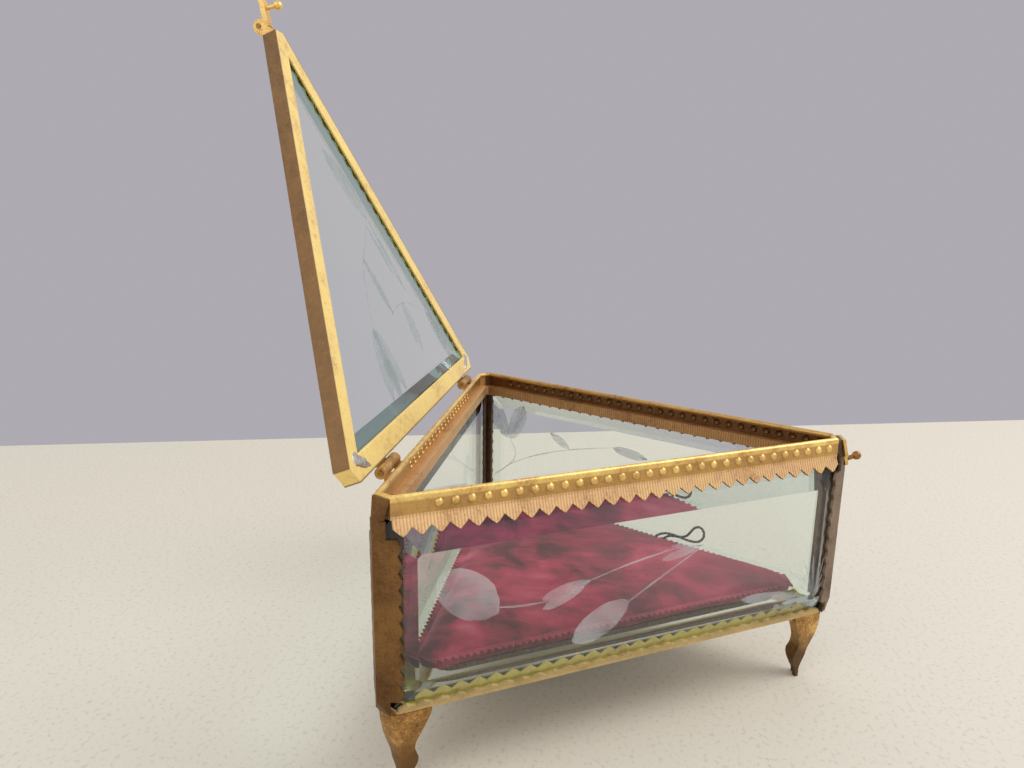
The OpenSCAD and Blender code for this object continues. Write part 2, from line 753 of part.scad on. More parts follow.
// Pull loop of stiff thread sewn into the right hand edge of the pad: the route of its middle,
// x along that edge towards the front, y in over the pad and z above the cushion's base
loop_route = [
    [9.2, 2.4, 3.4], [10.6, 1.7, 4.6], [12.2, 1.4, 5.3], [14, 1.4, 5.5], [15.8, 1.4, 5.4],
    [17.6, 1.4, 5.2], [19.4, 1.4, 5.2], [21, 1.3, 5.6], [22, 1.1, 6.8], [21.9, 0.8, 8.2],
    [20.8, 0.6, 9], [19.4, 0.4, 8.4], [18.4, 0.3, 7], [17.4, 0.2, 5.7], [16, 0, 4.9],
    [14.4, 0, 4.6], [12.8, 0.4, 4.4], [11.4, 1.2, 3.4]
];

// Tube of eight sides along a route
module thread(route, d) {
    last = len(route) - 1;
    loft([
        for (i = [0:last])
            let (
                ahead = route[min(last, i + 1)] - route[max(0, i - 1)],
                w = ahead / norm(ahead),
                across = cross(w, [0, 1, 0]),
                u = across / norm(across),
                v = cross(u, w)
            )
                [for (j = [0:7]) route[i] + d / 2 * (u * cos(-45 * j) + v * sin(-45 * j))]
    ]);
}

module pull_loop() {
    color([0.3, 0.27, 0.27]) at_side(RIGHT) mirror([0, 1, 0])
        translate([0, -(inradius - pad_in), pad_z + board_t + 0.1])
            thread(loop_route, thread_d);
}

wall_glass(LEFT);  // left_glass
wall_glass(RIGHT);  // right_glass
wall_glass(BACK);  // back_glass
base_glass();
lid_glass();
rim(LEFT);  // left_rim
rim(RIGHT);  // right_rim
rim(BACK);  // back_rim
top_rail(LEFT);  // left_top_rail
top_rail(RIGHT);  // right_top_rail
top_rail(BACK);  // back_top_rail
bottom_rail(LEFT);  // left_bottom_rail
bottom_rail(RIGHT);  // right_bottom_rail
bottom_rail(BACK);  // back_bottom_rail
post(LEFT_CORNER);  // left_post
post(RIGHT_CORNER);  // right_post
post(FRONT_CORNER);  // front_post
foot(LEFT_CORNER);  // left_foot
foot(RIGHT_CORNER);  // right_foot
foot(FRONT_CORNER);  // front_foot
lid_rail(LEFT);  // lid_left_rail
lid_rail(RIGHT);  // lid_right_rail
lid_rail(BACK);  // lid_back_rail
hinge_body_leaf(-hinge_x);  // left_hinge_body_leaf
hinge_body_leaf(hinge_x);  // right_hinge_body_leaf
hinge_lid_leaf(-hinge_x);  // left_hinge_lid_leaf
hinge_lid_leaf(hinge_x);  // right_hinge_lid_leaf
hinge_pin(-hinge_x);  // left_hinge_pin
hinge_pin(hinge_x);  // right_hinge_pin
hasp_ears();
hasp_pin();
hasp();
hasp_bead();
catch_plate();
catch_bead();
pad_board();
pad_cushion();
pull_loop();
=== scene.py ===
"""Dresses the three-sided glass casket: finishes, cut foliage, velvet pad, pull loop and solder."""

import math
from functools import partial

import bpy
from mathutils import Matrix, Vector


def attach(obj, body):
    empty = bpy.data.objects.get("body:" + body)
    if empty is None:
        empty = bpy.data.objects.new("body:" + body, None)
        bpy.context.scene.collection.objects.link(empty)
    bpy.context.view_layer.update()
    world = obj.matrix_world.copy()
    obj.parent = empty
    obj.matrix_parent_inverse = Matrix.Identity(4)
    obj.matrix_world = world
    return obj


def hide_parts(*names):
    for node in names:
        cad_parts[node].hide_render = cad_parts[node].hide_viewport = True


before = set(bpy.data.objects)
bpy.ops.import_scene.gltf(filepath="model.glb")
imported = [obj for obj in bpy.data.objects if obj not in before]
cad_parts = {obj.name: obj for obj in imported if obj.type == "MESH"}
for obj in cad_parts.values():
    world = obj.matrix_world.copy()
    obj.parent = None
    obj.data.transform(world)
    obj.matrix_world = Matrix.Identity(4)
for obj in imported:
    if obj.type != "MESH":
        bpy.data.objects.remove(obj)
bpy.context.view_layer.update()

bl_info = {
    "name": "Glass Casket Dressing",
    "version": (1, 0, 0),
    "blender": (4, 5, 0),
    "location": "View3D > Sidebar > Casket",
    "description": "Finishes and soft parts for a three-sided casket of bevelled glass",
    "category": "Object",
}

MM = 0.001
BACK, LEFT, RIGHT = 0, 1, 2
# The middle of the triangle lies this far in front of the origin
MIDDLE_Y = -3.5895 * MM
INRADIUS = 30.6 * MM
PANEL_FACE = 2.0 * MM  # the flat middle of a wall panel, in front of the galleries
LIP_Z = 58.5 * MM  # top of the rim
LID_AXIS = Vector((0, 32.1 * MM, 58.6 * MM))  # hinge pins, from the middle of the triangle
LID_OPEN = math.radians(111.5)
LID_FACE_Z = 63.65 * MM  # upper face of the lid glass while the lid is closed
LID_FLAT = 23.85 * MM  # from the middle of the lid glass to the start of its bevels
PAD_EDGE = 25.85 * MM  # from the middle of the triangle to the edge of the pad
CUSHION_Z = 21.85 * MM
BEVEL_SLOPE = 2.6 / 6  # how much a bevel falls away for each millimetre outwards


def srgb(r, g, b):
    """Linear colour from the three 0-255 values that a picture shows."""
    return tuple(
        c / 12.92 if c <= 0.04045 else ((c + 0.055) / 1.055) ** 2.4
        for c in (r / 255, g / 255, b / 255)
    )


def colour(name, description, r, g, b):
    return bpy.props.FloatVectorProperty(
        name=name, description=description, subtype="COLOR", size=3, min=0, max=1, default=srgb(r, g, b)
    )


def length(name, description, millimetres):
    return bpy.props.FloatProperty(
        name=name, description=description, subtype="DISTANCE", unit="LENGTH", min=0,
        default=millimetres * MM,
    )


def strength(name, description, value):
    return bpy.props.FloatProperty(name=name, description=description, min=0, default=value)


# Settings


class CasketMetals(bpy.types.PropertyGroup):
    bright: colour("Bright gilding", "Gold where hands have kept it bright", 255, 226, 138)
    lemon: colour("Lemon gilding", "Fresh yellow gold that the glass has sheltered", 255, 220, 104)
    rose: colour("Rose gilding", "Pinkish gold of the toothed strips", 240, 196, 148)
    gilt: colour("Gilding", "Gold of the galleries", 230, 188, 116)
    brass: colour("Brass", "Bare brass where the gilding has gone", 184, 138, 80)
    tarnish: colour("Tarnish", "Brown film on the metal", 96, 66, 40)
    # Besides dirt, grime is the dark of the painted shade on the posts and feet of the right and front
    # corners
    grime_and_shade: colour("Grime", "Dirt in hollows and between beads", 34, 20, 12)
    solder: colour("Solder", "Tinned joints in the corners of the lid", 205, 202, 196)


class CasketGlass(bpy.types.PropertyGroup):
    tint: colour("Glass tint", "Colour of the glass across its thickness", 251, 254, 253)
    depth_tint: colour("Depth tint", "Colour that long paths through the glass take on", 150, 212, 196)
    bevel: colour("Bevel tint", "Sea-green of the ground edges", 222, 236, 228)
    upper_bevel: colour("Upper bevel tint", "Lavender of the bevels under the rim", 168, 172, 208)
    lid_bevel: colour("Lid bevel tint", "Dark sea-green of the lid's bevels", 96, 150, 140)
    frost: colour("Cut glass", "Colour of the wheel-cut foliage", 218, 222, 226)
    lid_frost: colour("Cut glass of the lid", "The lid's foliage, seen against the light", 112, 134, 136)
    cut_depth: length("Cut depth", "Thickness of the frosted layer", 0.04)


class CasketPad(bpy.types.PropertyGroup):
    velvet: colour("Velvet", "Crimson pile in the light", 184, 54, 84)
    crushed: colour("Crushed velvet", "Pile that lies away from the light", 70, 22, 36)
    sheen: colour("Velvet sheen", "Bloom on the tips of the pile", 240, 140, 162)
    thread: colour("Thread", "Dark thread of the pull loop", 62, 52, 50)
    thread_width: length("Thread thickness", "Diameter of the pull loop's thread", 0.6)
    swell: length("Swell", "How far the stuffing may push the velvet out", 0.7)


class CasketStudio(bpy.types.PropertyGroup):
    table: colour("Table", "Colour of the pale table", 215, 209, 198)
    backdrop: colour("Backdrop", "Colour behind the table", 174, 170, 177)
    key: strength("Key light", "Power of the large lamp in watts", 2.5)
    fill: strength("Fill light", "Power of the second lamp in watts", 0.7)
    sky: strength("Sky", "Strength of the even light all round", 0.8)


SETTINGS = {
    "casket_metals": CasketMetals,
    "casket_glass": CasketGlass,
    "casket_pad": CasketPad,
    "casket_studio": CasketStudio,
}


# Materials


class Finish:
    """A material whose patterns read Object coordinates."""

    def __init__(self, name):
        self.material = bpy.data.materials.new(name)
        self.material.use_nodes = True
        self.tree = self.material.node_tree
        self.tree.nodes.clear()
        self.out = self.node("ShaderNodeOutputMaterial")
        self.shader = self.node("ShaderNodeBsdfPrincipled")
        self.join(self.shader.outputs[0], self.out.inputs["Surface"])
        self.place = self.node("ShaderNodeTexCoord").outputs["Object"]

    def node(self, kind, **settings):
        made = self.tree.nodes.new(kind)
        for key, value in settings.items():
            setattr(made, key, value)
        return made

    def join(self, source, target):
        self.tree.links.new(source, target)

    def put(self, target, value):
        """Links a socket, or sets a plain value."""
        if isinstance(value, bpy.types.NodeSocket):
            self.join(value, target)
        elif hasattr(value, "__len__") and len(value) == 3 and target.type == "RGBA":
            target.default_value = (*value, 1)
        else:
            target.default_value = value

    def set(self, **values):
        for key, value in values.items():
            self.put(self.shader.inputs[key.replace("_", " ")], value)

    def turned(self, angle=0, scale=(1, 1, 1)):
        """Object coordinates turned about the upright axis and stretched."""
        mapping = self.node("ShaderNodeMapping")
        self.join(self.place, mapping.inputs["Vector"])
        mapping.inputs["Rotation"].default_value = (0, 0, angle)
        mapping.inputs["Scale"].default_value = scale
        return mapping.outputs[0]

    def noise(self, scale, detail=4.0, rough=0.6, place=None, distortion=0.0):
        made = self.node("ShaderNodeTexNoise")
        self.join(place or self.place, made.inputs["Vector"])
        values = {"Scale": scale, "Detail": detail, "Roughness": rough, "Distortion": distortion}
        for key, value in values.items():
            made.inputs[key].default_value = value
        return made.outputs["Fac"]

    def wave(self, period, place, distortion=0.0):
        """Bands across x with the given period in metres."""
        made = self.node("ShaderNodeTexWave")
        self.join(place, made.inputs["Vector"])
        made.inputs["Scale"].default_value = math.tau / (20 * period)
        made.inputs["Distortion"].default_value = distortion
        return made.outputs["Fac"]

    def spots(self, scale, place):
        made = self.node("ShaderNodeTexVoronoi")
        self.join(place, made.inputs["Vector"])
        made.inputs["Scale"].default_value = scale
        return made.outputs["Distance"]

    def sum(self, *parts, operation="ADD"):
        total = parts[0]
        for part in parts[1:]:
            made = self.node("ShaderNodeMath", operation=operation)
            self.put(made.inputs[0], total)
            self.put(made.inputs[1], part)
            total = made.outputs[0]
        return total

    def times(self, *parts):
        return self.sum(*parts, operation="MULTIPLY")

    def range(self, value, low, high, to_low=0.0, to_high=1.0):
        made = self.node("ShaderNodeMapRange", clamp=True)
        self.put(made.inputs["Value"], value)
        numbers = {"From Min": low, "From Max": high, "To Min": to_low, "To Max": to_high}
        for key, number in numbers.items():
            made.inputs[key].default_value = number
        return made.outputs[0]

    def reach(self, direction, start):
        """Distance of a point from the start, measured along a direction."""
        away = self.node("ShaderNodeVectorMath", operation="SUBTRACT")
        self.join(self.place, away.inputs[0])
        away.inputs[1].default_value = start
        along = self.node("ShaderNodeVectorMath", operation="DOT_PRODUCT")
        self.join(away.outputs[0], along.inputs[0])
        along.inputs[1].default_value = direction
        return along.outputs["Value"]

    def ramp(self, value, *stops):
        """Colour that runs through the stops, each of them a position and a colour."""
        made = self.node("ShaderNodeValToRGB")
        self.join(value, made.inputs[0])
        band = made.color_ramp
        while len(band.elements) < len(stops):
            band.elements.new(0.5)
        for element, (where, shade) in zip(band.elements, stops):
            element.position = where
            element.color = (*shade, 1)
        return made.outputs[0]

    def blend(self, share, first, second):
        made = self.node("ShaderNodeMix", data_type="RGBA")
        self.put(made.inputs[0], share)
        self.put(made.inputs[6], first)
        self.put(made.inputs[7], second)
        return made.outputs[2]

    def bump(self, height, distance, strength=1.0, before=None):
        made = self.node("ShaderNodeBump")
        self.join(height, made.inputs["Height"])
        made.inputs["Distance"].default_value = distance
        made.inputs["Strength"].default_value = strength
        if before:
            self.join(before, made.inputs["Normal"])
        return made.outputs[0]


def shaded(first, second, share):
    """Mix of two colours, with the given share of the second."""
    return tuple(a * (1 - share) + b * share for a, b in zip(first, second))


def outward(side, lid=False):
    """Direction out of a side and a point on the outer face of its galleries, on the open lid too."""
    normal = Matrix.Rotation(math.radians(120 * side), 3, "Z") @ Vector((0, 1, 0))
    face = on_lid(0) if lid else Matrix.Translation((0, MIDDLE_Y, 0))
    return face.to_3x3() @ normal, face @ (normal * INRADIUS)


def worn_metal(
    name, high, middle, low, shine, wear=0.5, metallic=0.85,
    ribs=None, turn=0.0, relief_of=None, ground_and_shade=None,
):
    """Old gilding: bright where it was handled, brown where the film lies, with pits and a fine grain.

    relief_of gives masks, from 0 to 1, of what stands proud; the rest takes the colour of the ground,
    which is painted shade on the lower half of a foot and on the right side's rim.
    """
    metals = bpy.context.scene.casket_metals
    look = Finish(name)
    broad = look.noise(110, 3, 0.5)
    cloudy = look.noise(480, 5, 0.6)
    grain = look.noise(2100, 5, 0.7)
    tone = look.sum(look.times(broad, 0.35), look.times(cloudy, 0.3), look.times(grain, 0.35))
    metal = look.ramp(tone, (0.38, low), (0.4 + 0.16 * wear, middle), (0.6, high))
    if relief_of:
        ground = look.ramp(tone, (0.38, shaded(ground_and_shade, tuple(metals.grime_and_shade), 0.4)), (0.56, ground_and_shade))
        metal = look.blend(relief_of(look), ground, metal)
    dirt = look.range(look.sum(look.times(cloudy, 0.6), look.times(grain, 0.4)), 0.57, 0.7, 0, 0.65)
    metal = look.blend(dirt, metal, shaded(low, tuple(metals.grime_and_shade), 0.55))
    pits = look.range(look.spots(1100, look.turned(scale=(1, 1, 1.2))), 0.0, 0.16, 1, 0)
    metal = look.blend(look.times(pits, look.range(grain, 0.5, 0.62)), metal, tuple(metals.grime_and_shade))
    relief = look.bump(look.sum(cloudy, look.times(grain, 0.35)), 0.00016, 0.55)
    if ribs:
        fluting = look.wave(ribs, look.turned(turn), distortion=0.15)
        furrow = look.range(fluting, 0.0, 0.45, 0.55, 0)
        metal = look.blend(furrow, metal, shaded(low, tuple(metals.grime_and_shade), 0.4))
        relief = look.bump(fluting, 0.00012, 0.8, relief)
    uneven = look.sum(look.times(grain, 0.5), look.times(cloudy, 0.5))
    look.set(
        Base_Color=metal,
        Metallic=metallic,
        Roughness=look.range(uneven, 0.3, 0.7, shine, shine + 0.26),
        Normal=relief,
    )
    return look.material


def proud_of_rim(look, side):
    """Mask of the rim's rolled lip and of its beads, which stand out of a brown ground."""
    lip = look.range(look.reach((0, 0, 1), (0, 0, LIP_Z - 1.2 * MM)), -0.1 * MM, 0.2 * MM)
    bead = look.range(look.reach(*outward(side)), 0.06 * MM, 0.3 * MM)
    return look.sum(lip, bead, operation="MAXIMUM")


def inside_the_wall(look, side):
    """Mask of what lies behind the glass."""
    return look.range(look.reach(*outward(side)), -1.9 * MM, -2.1 * MM)


def lid_flange(look, side):
    """Mask of all but the lid rail's outer face, which is brown."""
    return look.range(look.reach(*outward(side, lid=True)), -0.12 * MM, -0.4 * MM)


def foot_above_painted_shade(look):
    """Mask of the upper half of a foot; the lower half, near the table, is drawn browner and darker as
    painted shade.
    """
    return look.range(look.reach((0, 0, 1), (0, 0, 0)), 6 * MM, 12 * MM)


def wear_it(material, *nodes):
    for name in nodes:
        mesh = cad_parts[name].data
        mesh.materials.clear()
        mesh.materials.append(material)


def clear_glass(name, faces, bevel, upper_bevel=None):
    """Old clear glass whose ground edges, all that doesn't look the way its faces do, are tinted."""
    glass = bpy.context.scene.casket_glass
    look = Finish(name)
    facing = look.node("ShaderNodeVectorMath", operation="DOT_PRODUCT")
    look.join(look.node("ShaderNodeTexCoord").outputs["Normal"], facing.inputs[0])
    facing.inputs[1].default_value = faces
    flat = look.range(look.sum(facing.outputs["Value"], 2, operation="POWER"), 0.9, 0.96)
    ground = tuple(bevel)
    if upper_bevel:
        high = look.range(look.reach((0, 0, 1), (0, 0, 44 * MM)), 0, 4 * MM)
        along = look.range(look.reach((faces[1], -faces[0], 0), (0, 0, 0)), -20 * MM, 30 * MM, 0.25, 1)
        ground = look.blend(look.times(high, along), ground, tuple(upper_bevel))
    ripple = look.bump(look.noise(55, 2, 0.4), 0.0004, 0.06)
    wiped = look.noise(140, 4, 0.6, place=look.turned(0.4, (1, 1, 0.35)))
    smears = look.range(wiped, 0.55, 0.8, 0.0, 0.05)
    look.set(
        Base_Color=look.blend(flat, ground, tuple(glass.tint)),
        Transmission_Weight=1.0, IOR=1.5, Roughness=smears, Normal=ripple,
    )
    depth = look.node("ShaderNodeVolumeAbsorption")
    depth.inputs["Color"].default_value = (*glass.depth_tint, 1)
    depth.inputs["Density"].default_value = 12
    look.join(depth.outputs[0], look.out.inputs["Volume"])
    # Lamps shine through the panes
    pane = look.node("ShaderNodeBsdfTransparent")
    pane.inputs["Color"].default_value = (0.92, 0.97, 0.955, 1)
    mix = look.node("ShaderNodeMixShader")
    look.join(look.node("ShaderNodeLightPath").outputs["Is Shadow Ray"], mix.inputs[0])
    look.join(look.shader.outputs[0], mix.inputs[1])
    look.join(pane.outputs[0], mix.inputs[2])
    look.join(mix.outputs[0], look.out.inputs["Surface"])
    return look.material


def frosted_cut(name, frost, cover):
    """Wheel-cut glass: a thin milky layer with the fine lines of the wheel."""
    look = Finish(name)
    lines = look.wave(0.00032, look.turned(0.5, (1, 1, 1.4)), distortion=3.0)
    cloud = look.noise(130, 3, 0.5)
    soft = look.sum(look.times(lines, 0.16), look.times(cloud, 0.84))
    look.set(
        Base_Color=frost,
        Roughness=0.55,
        Alpha=look.range(soft, 0.36, 0.62, 0.35 * cover, 1.25 * cover),
        Normal=look.bump(lines, 0.00003, 0.3),
    )
    return look.material


def velvet_cloth(name):
    pad = bpy.context.scene.casket_pad
    look = Finish(name)
    crush = look.noise(58, 3, 0.5, distortion=0.8)
    brushed = look.noise(230, 4, 0.6, place=look.turned(0.5, (1, 0.35, 1)))
    pile = look.noise(2600, 3, 0.7)
    nap = look.sum(look.times(crush, 0.62), look.times(brushed, 0.38))
    # Patches of crushed pile at random: the darkest is drawn as pile turned from the light, a painted
    # shade, and the lightest mixes in the sheen's colour, a painted sheen
    base = look.ramp(
        nap, (0.42, tuple(pad.crushed)), (0.5, shaded(pad.crushed, pad.velvet, 0.5)),
        (0.57, tuple(pad.velvet)), (0.68, shaded(pad.velvet, pad.sheen, 0.35)),
    )
    base = look.blend(look.range(pile, 0.3, 0.7, 0.28, 0.0), base, shaded(pad.crushed, (0, 0, 0), 0.4))
    # Painted sheen: the pile is drawn lighter and pinker towards the front corner
    painted_sheen_to_front = look.range(look.reach((0, -1, 0), (0, 0, 0)), 0, 50 * MM, 0, 0.3)
    base = look.blend(painted_sheen_to_front, base, tuple(pad.sheen))
    look.set(
        Base_Color=base,
        Roughness=0.86,
        Sheen_Weight=0.95,
        Sheen_Roughness=0.38,
        Sheen_Tint=tuple(pad.sheen),
        Specular_IOR_Level=0.18,
        Normal=look.bump(look.sum(look.times(pile, 0.4), look.times(nap, 1.4)), 0.0005, 0.75),
    )
    return look.material


def plain_card(name):
    look = Finish(name)
    fibre = look.noise(900, 5, 0.7, place=look.turned(0.2, (1, 3, 1)))
    look.set(
        Base_Color=look.ramp(fibre, (0.35, srgb(96, 66, 58)), (0.7, srgb(150, 116, 100))),
        Roughness=0.9,
        Normal=look.bump(fibre, 0.0001, 0.6),
    )
    return look.material


def twisted_thread(name):
    """Plies run round the thread, so this one follows its own UV map."""
    look = Finish(name)
    own = look.node("ShaderNodeTexCoord").outputs["UV"]
    lay = look.node("ShaderNodeMapping")
    look.join(own, lay.inputs["Vector"])
    lay.inputs["Scale"].default_value = (34, 1, 1)
    plies = look.node("ShaderNodeTexWave", bands_direction="DIAGONAL")
    look.join(lay.outputs[0], plies.inputs["Vector"])
    plies.inputs["Scale"].default_value = 0.55
    dark = tuple(bpy.context.scene.casket_pad.thread)
    # Painted shade and highlight: the plies are drawn darker between them and lighter on their crests
    between, crest = shaded(dark, (0, 0, 0), 0.5), shaded(dark, (1, 1, 1), 0.1)
    look.set(
        Base_Color=look.ramp(plies.outputs["Fac"], (0.1, between), (0.9, crest)),
        Roughness=0.7,
        Sheen_Weight=0.3,
        Normal=look.bump(plies.outputs["Fac"], 0.00008, 0.9),
    )
    return look.material


def soft_solder(name):
    look = Finish(name)
    lumps = look.noise(800, 4, 0.6)
    tin = tuple(bpy.context.scene.casket_metals.solder)
    look.set(
        Base_Color=look.ramp(lumps, (0.3, shaded(tin, (0.1, 0.08, 0.05), 0.45)), (0.65, tin)),
        Metallic=1.0,
        Roughness=look.range(lumps, 0.3, 0.7, 0.2, 0.45),
        Normal=look.bump(lumps, 0.00025, 0.7),
    )
    return look.material


# Helpers for modelling


def deselect():
    if bpy.context.mode != "OBJECT":
        bpy.ops.object.mode_set(mode="OBJECT")
    bpy.ops.object.select_all(action="DESELECT")


def pick(*objects):
    deselect()
    for made in objects:
        made.select_set(True)
    bpy.context.view_layer.objects.active = objects[0]


def started(name):
    made = bpy.context.object
    made.name = made.data.name = name
    return made


def choose(made, test):
    """In edit mode, selects the vertices whose place passes the test."""
    bpy.ops.mesh.select_mode(type="VERT")
    bpy.ops.mesh.select_all(action="DESELECT")
    bpy.ops.object.mode_set(mode="OBJECT")
    found = 0
    for vertex in made.data.vertices:
        vertex.select = bool(test(vertex.co))
        found += vertex.select
    bpy.ops.object.mode_set(mode="EDIT")
    if not found:
        raise RuntimeError(f"{made.name}: nothing to shape there")


def settled(made):
    """Puts the object's place, turn and size into its mesh."""
    pick(made)
    bpy.ops.object.transform_apply(location=True, rotation=True, scale=True)
    return made


def joined(name, parts):
    pick(*parts)
    if len(parts) > 1:
        bpy.ops.object.join()
    made = bpy.context.object
    made.name = made.data.name = name
    return made


def dressed(made, material, body="box"):
    made.data.materials.clear()
    made.data.materials.append(material)
    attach(made, body)
    return made


def on_panel(side, out):
    """From a drawing (x along the side, y up, z inwards) to a wall panel of that side."""
    turn = Matrix.Rotation(math.radians(120 * side), 4, "Z")
    flat = Matrix(((1, 0, 0, 0), (0, 0, -1, INRADIUS + out), (0, 1, 0, 0), (0, 0, 0, 1)))
    return Matrix.Translation((0, MIDDLE_Y, 0)) @ turn @ flat


def on_lid(z):
    """From a drawing (x along the hinge, y towards it) to the open lid, z above the closed rim."""
    axis = LID_AXIS + Vector((0, MIDDLE_Y, 0))
    swing = Matrix.Translation(axis) @ Matrix.Rotation(-LID_OPEN, 4, "X") @ Matrix.Translation(-axis)
    return swing @ Matrix.Translation((0, MIDDLE_Y, z))


# Cut foliage


def leaf(start, end, width, belly=0.5, tip=0.12):
    """A flat leaf between two points of the drawing, widest at the share belly of its length."""
    span = Vector(end) - Vector(start)
    deselect()
    bpy.ops.mesh.primitive_circle_add(vertices=28, radius=1, fill_type="NGON")
    made = started("leaf")
    bpy.ops.object.mode_set(mode="EDIT")
    bpy.ops.transform.resize(value=(span.length / 2 * MM, width / 2 * MM, 1))
    half = span.length / 2 * MM
    for reach, pinch in ((0.62, 0.86), (0.8, 0.72), (0.93, tip)):
        choose(made, lambda p: p.x > half * reach)
        bpy.ops.transform.resize(value=(1, pinch, 1))
    choose(made, lambda p: p.x < -half * 0.85)
    bpy.ops.transform.resize(value=(1, 0.7, 1))
    choose(made, lambda p: abs(p.x) < half * 0.6)
    bpy.ops.transform.translate(value=((belly - 0.5) * half, 0, 0))
    bpy.ops.mesh.select_all(action="SELECT")
    bpy.ops.mesh.inset(thickness=min(width * 0.16 * MM, 0.0006), depth=0)
    bpy.ops.object.mode_set(mode="OBJECT")
    middle = (Vector(start) + Vector(end)) / 2 * MM
    made.matrix_world = Matrix.Translation((middle.x, middle.y, 0)) @ Matrix.Rotation(
        math.atan2(span.y, span.x), 4, "Z"
    )
    return settled(made)


def stem(points, width):
    """A narrow cut along a smooth line through the points of the drawing."""
    deselect()
    bpy.ops.curve.primitive_nurbs_path_add()
    made = started("stem")
    line = made.data
    line.splines.clear()
    spline = line.splines.new("BEZIER")
    spline.bezier_points.add(len(points) - 1)
    for knot, point in zip(spline.bezier_points, points):
        knot.co = (point[0] * MM, point[1] * MM, 0)
        knot.handle_left_type = knot.handle_right_type = "AUTO"
    line.dimensions = "2D"
    line.fill_mode = "NONE"
    line.resolution_u = 8
    pick(made)
    bpy.ops.object.convert(target="MESH")
    made = bpy.context.object
    bpy.ops.object.mode_set(mode="EDIT")
    bpy.ops.mesh.select_all(action="SELECT")
    bpy.ops.mesh.extrude_region_move(TRANSFORM_OT_translate={"value": (0, 0, width * MM)})
    bpy.ops.object.mode_set(mode="OBJECT")
    # The ribbon stands on edge; lay it flat by moving its raised edge to the side of the line
    mesh = made.data
    count = len(mesh.vertices) // 2
    low = sorted((v for v in mesh.vertices if v.co.z < width * MM / 2), key=lambda v: v.index)
    high = sorted((v for v in mesh.vertices if v.co.z >= width * MM / 2), key=lambda v: v.index)
    flats = [v.co.copy() for v in low]
    for i in range(count):
        ahead = flats[min(i + 1, count - 1)] - flats[max(i - 1, 0)]
        side = Vector((-ahead.y, ahead.x, 0)).normalized() * width * MM / 2
        fade = 0.35 + 0.65 * math.sin(math.pi * min(1, (i + 0.5) / count))
        low[i].co = flats[i] - side * fade
        high[i].co = flats[i] + side * fade
    return made


def beyond_panel_flat(x, y):
    """How far a point of the drawing lies out on the bevels of a wall panel."""
    return max(abs(x) - 45 * MM, y - 48.2 * MM, 23.7 * MM - y, 0)


def beyond_lid_flat(x, y):
    """How far a point of the drawing lies out on the bevels of the lid glass."""
    tilt = math.sqrt(3) / 2
    return max(y, tilt * x - y / 2, -tilt * x - y / 2, LID_FLAT) - LID_FLAT


def cut_into(name, shapes, place, cover, body="box"):
    """Joins flat shapes, gives them the depth of the cut and lays them on the glass."""
    glass = bpy.context.scene.casket_glass
    frost = tuple(glass.lid_frost if body == "lid" else glass.frost)
    on_lid_glass = body == "lid"
    beyond_flat = beyond_lid_flat if on_lid_glass else beyond_panel_flat
    fall = -BEVEL_SLOPE if on_lid_glass else BEVEL_SLOPE
    spray = joined(name, shapes)
    for vertex in spray.data.vertices:
        vertex.co.z += fall * beyond_flat(vertex.co.x, vertex.co.y)
    bpy.ops.object.mode_set(mode="EDIT")
    bpy.ops.mesh.select_all(action="SELECT")
    bpy.ops.mesh.normals_make_consistent(inside=False)
    bpy.ops.object.mode_set(mode="OBJECT")
    spray.matrix_world = place
    settled(spray)
    layer = spray.modifiers.new("Depth", "SOLIDIFY")
    layer.thickness = glass.cut_depth
    layer.offset = 0
    bpy.ops.object.modifier_apply(modifier=layer.name)
    return dressed(spray, frosted_cut(name + "_frost", frost, cover), body)


# Operators


